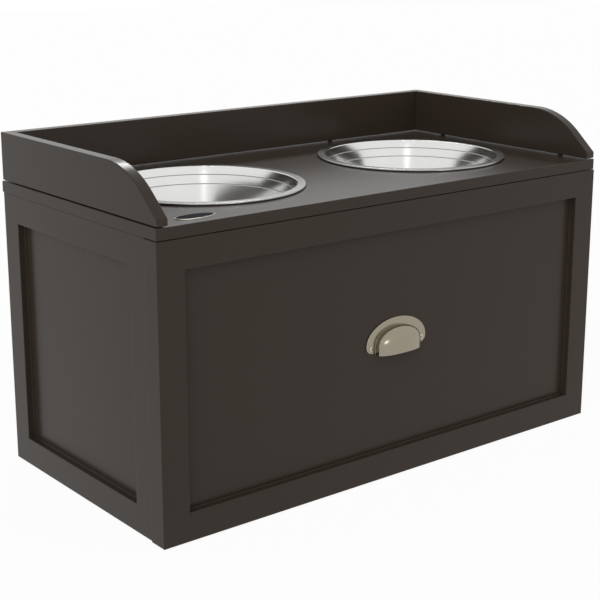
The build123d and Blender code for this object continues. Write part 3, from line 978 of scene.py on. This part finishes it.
# ---------------------------------------------------------------------------- plate
@dataclass
class OvalPlate:
    """Blank oval plate with a raised border, stuck to the top board. Sizes in millimetres."""

    middle: Point = (-242.0, -124.0)
    half_length: float = 21.5
    half_width: float = 10.0
    thickness: float = 0.8
    border_width: float = 1.1
    border_round: float = 0.3
    round_turns: tuple[float, ...] = (0.4, 0.8, 1.2)  # in radians
    field_drop: float = 0.3
    field_bands: int = 2  # innermost bands in the field's finish
    turn_pieces: int = 96
    crease: float = 40.0  # in degrees

    def levels(self) -> list[Point]:
        """Draws the plate's section.

        Returns:
            Points (how far in from the edge, how high), from the foot of the edge to the field.
        """
        top, low = self.thickness, self.thickness - self.field_drop
        ease = self.border_round
        points = [(0.0, 0.0), (0.0, top - ease)]
        points += [(ease * (1 - cos(turn)), top - ease * (1 - sin(turn))) for turn in self.round_turns]
        points += [(ease, top), (self.border_width - ease, top)]
        points += [(self.border_width, low), (self.border_width + ease, low)]
        return points

    def build(self, finishes: Finishes) -> bpy.types.Object:
        """Makes the plate on the top board.

        Args:
            finishes: the materials.

        Returns:
            The finished plate.
        """
        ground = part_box("top_board")[1][2]
        centre = Vector((self.middle[0] * MM, self.middle[1] * MM, ground))
        count = self.turn_pieces
        points, faces, in_field = [], [], []
        levels = self.levels()
        for inset, height in levels:
            for n in range(count):
                turn = 2 * pi * n / count
                across = (self.half_length - inset) * cos(turn)
                along = (self.half_width - inset) * sin(turn)
                points.append(centre + Vector((across, along, height)) * MM)
        bands = len(levels) - 1
        for row in range(bands):
            for n in range(count):
                a, b = row * count + n, row * count + (n + 1) % count
                faces.append([a, b, b + count, a + count])
                in_field.append(row >= bands - self.field_bands)
        faces.append(list(range(bands * count, bands * count + count)))
        faces.append(list(range(count))[::-1])
        in_field += [True, False]
        plate = mesh_object("blank_oval_plate", points, [], faces)
        plate.data.materials.append(finishes.bright_nickel)
        plate.data.materials.append(finishes.plate_field)
        for face, dark in zip(plate.data.polygons, in_field):
            face.material_index = int(dark)
        plate.data.shade_smooth()
        plate.data.set_sharp_from_angle(angle=radians(self.crease))
        place_piece(plate, Body.CABINET, Slot.PULL_NICKEL)
        return plate


# ---------------------------------------------------------------------------- screws
class ScrewTree(GeometryTree):
    """Tree that sets one round cross-headed screw on every point, turned to the point's facing."""

    facing_mark: str = "facing"
    head_pieces: int = 28
    disc_pieces: int = 4
    shank_pieces: int = 14
    bar_length: float = 1.15  # against the head's radius

    def __init__(self) -> None:
        """Builds the tree, with named inputs for the screw's sizes."""
        head = ("Head Radius", "Head Height", "Crown", "Recess Width", "Recess Depth")
        sizes = {name: Kind.LENGTH for name in head + ("Shank Radius", "Length")}
        super().__init__("screws", sizes | {"Seed": Kind.WHOLE, "Finish": Kind.FINISH})
        screw = self.add("GeometryNodeJoinGeometry")
        self.feed(screw, 0, self.recessed(self.head()))
        self.feed(screw, 0, self.shank())
        self.close(self.set_on_points(screw.outputs[0]))

    def upward(self, value: object) -> bpy.types.NodeSocket:
        """Vector with a value along Z."""
        return self.add("ShaderNodeCombineXYZ", {"Z": value}).outputs[0]

    def lifted(self, geometry: bpy.types.NodeSocket, height: bpy.types.NodeSocket) -> bpy.types.NodeSocket:
        """Shape moved up along Z."""
        move = {"Geometry": geometry, "Translation": self.upward(height)}
        return self.add("GeometryNodeTransform", move).outputs["Geometry"]

    def head(self) -> bpy.types.NodeSocket:
        """Makes the head, a disc with a crowned top that reaches up to the point.

        Returns:
            The socket with the head.
        """
        given = self.given
        pieces = {"Vertices": self.head_pieces, "Side Segments": 1, "Fill Segments": self.disc_pieces}
        size = {"Radius": given["Head Radius"], "Depth": given["Head Height"]}
        disc = self.add("GeometryNodeMeshCylinder", pieces | size, fill_type="NGON").outputs
        place = self.add("GeometryNodeInputPosition").outputs[0]
        parts = self.add("ShaderNodeSeparateXYZ", {"Vector": place}).outputs
        flat = self.add("ShaderNodeCombineXYZ", {"X": parts["X"], "Y": parts["Y"]}).outputs[0]
        across = self.add("ShaderNodeVectorMath", {0: flat}, operation="LENGTH").outputs["Value"]
        share = self.maths("DIVIDE", across, given["Head Radius"])
        swell = self.maths("SUBTRACT", 1.0, self.maths("MULTIPLY", share, share))
        rise = self.upward(self.maths("MULTIPLY", swell, given["Crown"]))
        top = {"Geometry": disc["Mesh"], "Selection": disc["Top"], "Offset": rise}
        domed = self.add("GeometryNodeSetPosition", top).outputs["Geometry"]
        half = self.maths("MULTIPLY", given["Head Height"], -0.5)
        return self.lifted(domed, self.maths("SUBTRACT", half, given["Crown"]))

    def recessed(self, head: bpy.types.NodeSocket) -> bpy.types.NodeSocket:
        """Cuts the cross recess into a head, with two bars that stand half above it.

        Args:
            head: the socket with the head.

        Returns:
            The socket with the cut head.
        """
        wide = self.given["Recess Width"]
        long = self.maths("MULTIPLY", self.given["Head Radius"], self.bar_length)
        tall = self.maths("MULTIPLY", self.given["Recess Depth"], 2.0)
        for x, y in ((long, wide), (wide, long)):
            size = self.add("ShaderNodeCombineXYZ", {"X": x, "Y": y, "Z": tall}).outputs[0]
            bar = self.add("GeometryNodeMeshCube", {"Size": size}).outputs["Mesh"]
            cutter = self.add("GeometryNodeMeshBoolean", operation="DIFFERENCE", solver="EXACT")
            self.feed(cutter, 0, head)
            self.feed(cutter, 1, bar)
            head = cutter.outputs["Mesh"]
        return head

    def shank(self) -> bpy.types.NodeSocket:
        """Makes the shank under the head.

        Returns:
            The socket with the shank.
        """
        given = self.given
        size = {"Radius": given["Shank Radius"], "Depth": given["Length"]}
        rod = self.add("GeometryNodeMeshCylinder", {"Vertices": self.shank_pieces} | size).outputs["Mesh"]
        middle = self.maths("SUBTRACT", self.maths("MULTIPLY", given["Length"], -0.5), given["Crown"])
        return self.lifted(rod, self.maths("SUBTRACT", middle, given["Head Height"]))

    def set_on_points(self, screw: bpy.types.NodeSocket) -> bpy.types.NodeSocket:
        """Sets a screw on every point and gives each recess its own turn.

        Args:
            screw: the socket with the screw.

        Returns:
            The socket with the screws in place.
        """
        name = {"Name": self.facing_mark}
        mark = self.add("GeometryNodeInputNamedAttribute", name, data_type="FLOAT_VECTOR")
        way = {"Vector": mark.outputs["Attribute"]}
        turned = self.add("FunctionNodeAlignRotationToVector", way, axis="Z").outputs[0]
        spread = {"Points": self.given["Geometry"], "Instance": screw, "Rotation": turned}
        placed = self.add("GeometryNodeInstanceOnPoints", spread).outputs[0]
        draw = self.add("FunctionNodeRandomValue", {"Seed": self.given["Seed"]}, data_type="FLOAT")
        angle = self.upward(self.maths("MULTIPLY", draw.outputs["Value"], pi / 2))
        return self.add("GeometryNodeRotateInstances", {"Instances": placed, "Rotation": angle}).outputs[0]


@dataclass
class ScrewSet:
    """Round cross-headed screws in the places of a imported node's few-sided ones. Sizes in millimetres."""

    node: str
    body: Body
    facing: Facing
    slot: Slot = Slot.ZINC_STEEL
    head_radius: float = 3.5
    head_height: float = 1.0
    crown: float = 0.35
    shank_radius: float = 1.75
    end_gap: float = 0.5
    recess_width: float = 0.24  # against the head's radius
    recess_depth: float = 0.6  # below the crown, against the head's height
    proud: float = 0.0
    seed: int = 1
    crease: float = 35.0  # in degrees

    def solids(self) -> list[tuple[Vector, Vector]]:
        """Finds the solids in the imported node.

        Returns:
            The lowest and the highest corner of each solid's box.
        """
        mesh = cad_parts[self.node].data
        places = [tuple(round(value, KEY_DIGITS) for value in corner.co) for corner in mesh.vertices]
        owner: dict[Place, Place] = {}

        def root(key: Place) -> Place:
            """Finds the corner that stands for a corner's whole solid.

            Args:
                key: the corner's place.

            Returns:
                The place of the corner that stands for it.
            """
            while owner[key] != key:
                key = owner[key]
            return key

        for face in mesh.polygons:
            keys = [places[n] for n in face.vertices]
            for key in keys:
                owner.setdefault(key, key)
            for key in keys[1:]:
                owner[root(key)] = root(keys[0])
        found: dict[Place, list[Place]] = {}
        for key in owner:
            found.setdefault(root(key), []).append(key)
        boxes = []
        for keys in sorted(found.values()):
            axes = list(zip(*keys))
            boxes.append((Vector([min(axis) for axis in axes]), Vector([max(axis) for axis in axes])))
        return boxes

    def build(self, tree: ScrewTree, finishes: Finishes) -> bpy.types.Object:
        """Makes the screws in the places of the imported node's solids.

        Args:
            tree: the screw tree.
            finishes: the materials.

        Returns:
            The finished screws, as one piece.
        """
        points, ways, reach = [], [], 0.0
        for low, high in self.solids():
            middle = (low + high) / 2
            way = self.facing.at(middle.x)
            half = abs((high - low).dot(way)) / 2
            points.append(middle + way * (half + self.proud * MM))
            ways.append(way)
            reach = max(reach, 2 * half)
        seed = mesh_object("round_" + self.node, points, [], [])
        marks = seed.data.attributes.new(tree.facing_mark, "FLOAT_VECTOR", "POINT")
        for mark, way in zip(marks.data, ways):
            mark.vector = way
        in_sight = self.slot is Slot.PULL_NICKEL
        values = {
            "Head Radius": self.head_radius * MM,
            "Head Height": self.head_height * MM,
            "Crown": self.crown * MM,
            "Shank Radius": self.shank_radius * MM,
            "Length": reach - (self.head_height + self.crown + self.end_gap) * MM,
            "Recess Width": self.head_radius * self.recess_width * MM,
            "Recess Depth": (self.crown + self.head_height * self.recess_depth) * MM,
            "Seed": self.seed,
            "Finish": finishes.bright_nickel if in_sight else finishes.by_slot[self.slot],
        }
        screws = tree.grow(seed, values, self.crease)
        place_piece(screws, self.body, self.slot, self.node)
        return screws


SCREW_SETS = (
    ScrewSet("pull_screws", Body.DRAWER, Facing.FRONT, Slot.PULL_NICKEL, head_radius=2.8, crown=0.5, seed=3),
    ScrewSet("gallery_screws", Body.CABINET, Facing.DOWN, proud=0.1, seed=4),
    ScrewSet("top_rail_screws", Body.CABINET, Facing.DOWN, proud=0.1, seed=6),
    ScrewSet("back_panel_screws", Body.CABINET, Facing.BACK, proud=0.1, seed=7),
    ScrewSet("channel_screws", Body.CABINET, Facing.INWARD, seed=8),
    ScrewSet("drawer_box_screws", Body.DRAWER, Facing.OUTWARD, proud=0.1, seed=9),
    ScrewSet("drawer_front_screws", Body.DRAWER, Facing.BACK, seed=10),
    ScrewSet("slide_screws", Body.DRAWER, Facing.OUTWARD, head_radius=2.75, seed=11),
)


# ---------------------------------------------------------------------------- studio
@dataclass(frozen=True)
class Lamp:
    """A far soft lamp."""

    name: str
    power: float
    spread: float  # apparent width in degrees
    towards: Place  # from the object to the lamp
    mirrored: bool = False  # whether gloss shows the lamp itself

    def build(self) -> None:
        """Hangs the lamp."""
        light = bpy.data.lights.new(self.name, "SUN")
        light.energy = self.power
        light.angle = radians(self.spread)
        holder = bpy.data.objects.new(self.name, light)
        holder.rotation_euler = Vector(self.towards).to_track_quat("Z", "Y").to_euler()
        holder.visible_glossy = self.mirrored
        bpy.context.scene.collection.objects.link(holder)


LAMPS = (
    Lamp("key_light", 1.88, 50.0, (-0.80, -0.42, 0.62)),
    Lamp("fill_light", 0.60, 70.0, (0.30, -0.90, 0.70)),
    Lamp("glint_light", 0.013, 8.0, (-0.575, -0.74, 0.373), mirrored=True),
    Lamp("spark_light", 0.30, 18.0, (-0.04, -1.0, 0.02), mirrored=True),
    Lamp("back_light", 0.42, 9.0, (0.508, 0.646, 0.568), mirrored=True),
)


@dataclass
class Studio:
    """Pale floor, plain surroundings and soft lamps. Sizes in metres."""

    floor_size: float = 14.0
    floor_tone: float = 0.90
    floor_roughness: float = 0.9
    floor_glow: float = 0.94
    ambient: float = 0.32
    lamps: tuple[Lamp, ...] = LAMPS

    @staticmethod
    def seen(graph: Graph) -> bpy.types.NodeSocket:
        """Whether a ray sees the surroundings directly, in gloss or through glass.

        Args:
            graph: the node graph that asks.

        Returns:
            The socket with 1 for such a ray and 0 for light.
        """
        path = graph.add("ShaderNodeLightPath").outputs
        pair = graph.maths("MAXIMUM", path["Is Camera Ray"], path["Is Glossy Ray"])
        return graph.maths("MAXIMUM", pair, path["Is Transmission Ray"])

    def surroundings(self) -> None:
        """Makes white surroundings that light the object at a plain level."""
        world = bpy.data.worlds.new("surroundings")
        world.use_nodes = True
        bpy.context.scene.world = world
        graph = Graph(world.node_tree)
        sky = world.node_tree.nodes["Background"]
        sky.inputs["Color"].default_value = WHITE
        level = graph.maths("MULTIPLY_ADD", self.seen(graph), 1.0 - self.ambient, self.ambient)
        graph.feed(sky, "Strength", level)

    def floor(self) -> None:
        """Makes a pale floor that keeps the object's shadow."""
        half = self.floor_size / 2
        corners = [(-half, -half, 0.0), (half, -half, 0.0), (half, half, 0.0), (-half, half, 0.0)]
        sheet = mesh_object("floor", corners, [], [[0, 1, 2, 3]])
        made = bpy.data.materials.new("pale_floor")
        made.use_nodes = True
        graph = Graph(made.node_tree)
        shader = made.node_tree.nodes["Principled BSDF"]
        shader.inputs["Roughness"].default_value = self.floor_roughness
        shader.inputs["Specular IOR Level"].default_value = 0.0
        shader.inputs["Base Color"].default_value = (self.floor_tone,) * 3 + (1.0,)
        glow = graph.add("ShaderNodeEmission", {"Color": WHITE, "Strength": 1.0})
        share = graph.maths("MULTIPLY", self.seen(graph), self.floor_glow)
        mix = graph.add("ShaderNodeMixShader", {"Fac": share})
        graph.feed(mix, 1, shader.outputs["BSDF"])
        graph.feed(mix, 2, glow.outputs["Emission"])
        graph.feed(made.node_tree.nodes["Material Output"], "Surface", mix.outputs["Shader"])
        sheet.data.materials.append(made)

    def build(self) -> None:
        """Sets up the floor, the surroundings and the lamps."""
        self.surroundings()
        self.floor()
        for lamp in self.lamps:
            lamp.build()
        bpy.context.scene.view_settings.view_transform = "Standard"
        log.info("studio: floor, surroundings and %d lamps", len(self.lamps))


@dataclass
class Viewpoint:
    """Camera at the front left, a little above the object. Sizes in millimetres, angles in radians."""

    place: Place = (-943.242, -1162.698, 581.699)
    heading: float = 0.672
    tilt: float = 0.250
    lens: float = 82.3
    sensor: float = 36.0
    shift: float = -0.05

    def build(self) -> None:
        """Makes the camera the scene's own."""
        camera = bpy.data.cameras.new("viewpoint")
        camera.lens = self.lens
        camera.sensor_width = self.sensor
        camera.shift_y = self.shift
        holder = bpy.data.objects.new("viewpoint", camera)
        level = cos(self.tilt)
        ahead = Vector((sin(self.heading) * level, cos(self.heading) * level, -sin(self.tilt)))
        turn = ahead.to_track_quat("-Z", "Y").to_matrix().to_4x4()
        holder.matrix_world = Matrix.Translation(Vector(self.place) * MM) @ turn
        bpy.context.scene.collection.objects.link(holder)
        bpy.context.scene.camera = holder
        log.info("viewpoint: %.0f mm lens", self.lens)


def main() -> None:
    """Builds the pieces in order."""
    logging.basicConfig(level=logging.INFO, format="%(name)s %(message)s")
    finishes = Finishes()
    Viewpoint().build()
    Studio().build()
    Carcass(finishes).dress()
    lathe = Bowl.lathe()
    for body in (Body.BOWL_LEFT, Body.BOWL_RIGHT):
        Bowl(body).build(lathe)
    CupPull().build(finishes)
    OvalPlate().build(finishes)
    screw_tree = ScrewTree()
    for screws in SCREW_SETS:
        screws.build(screw_tree, finishes)


if __name__ == "__main__":
    main()
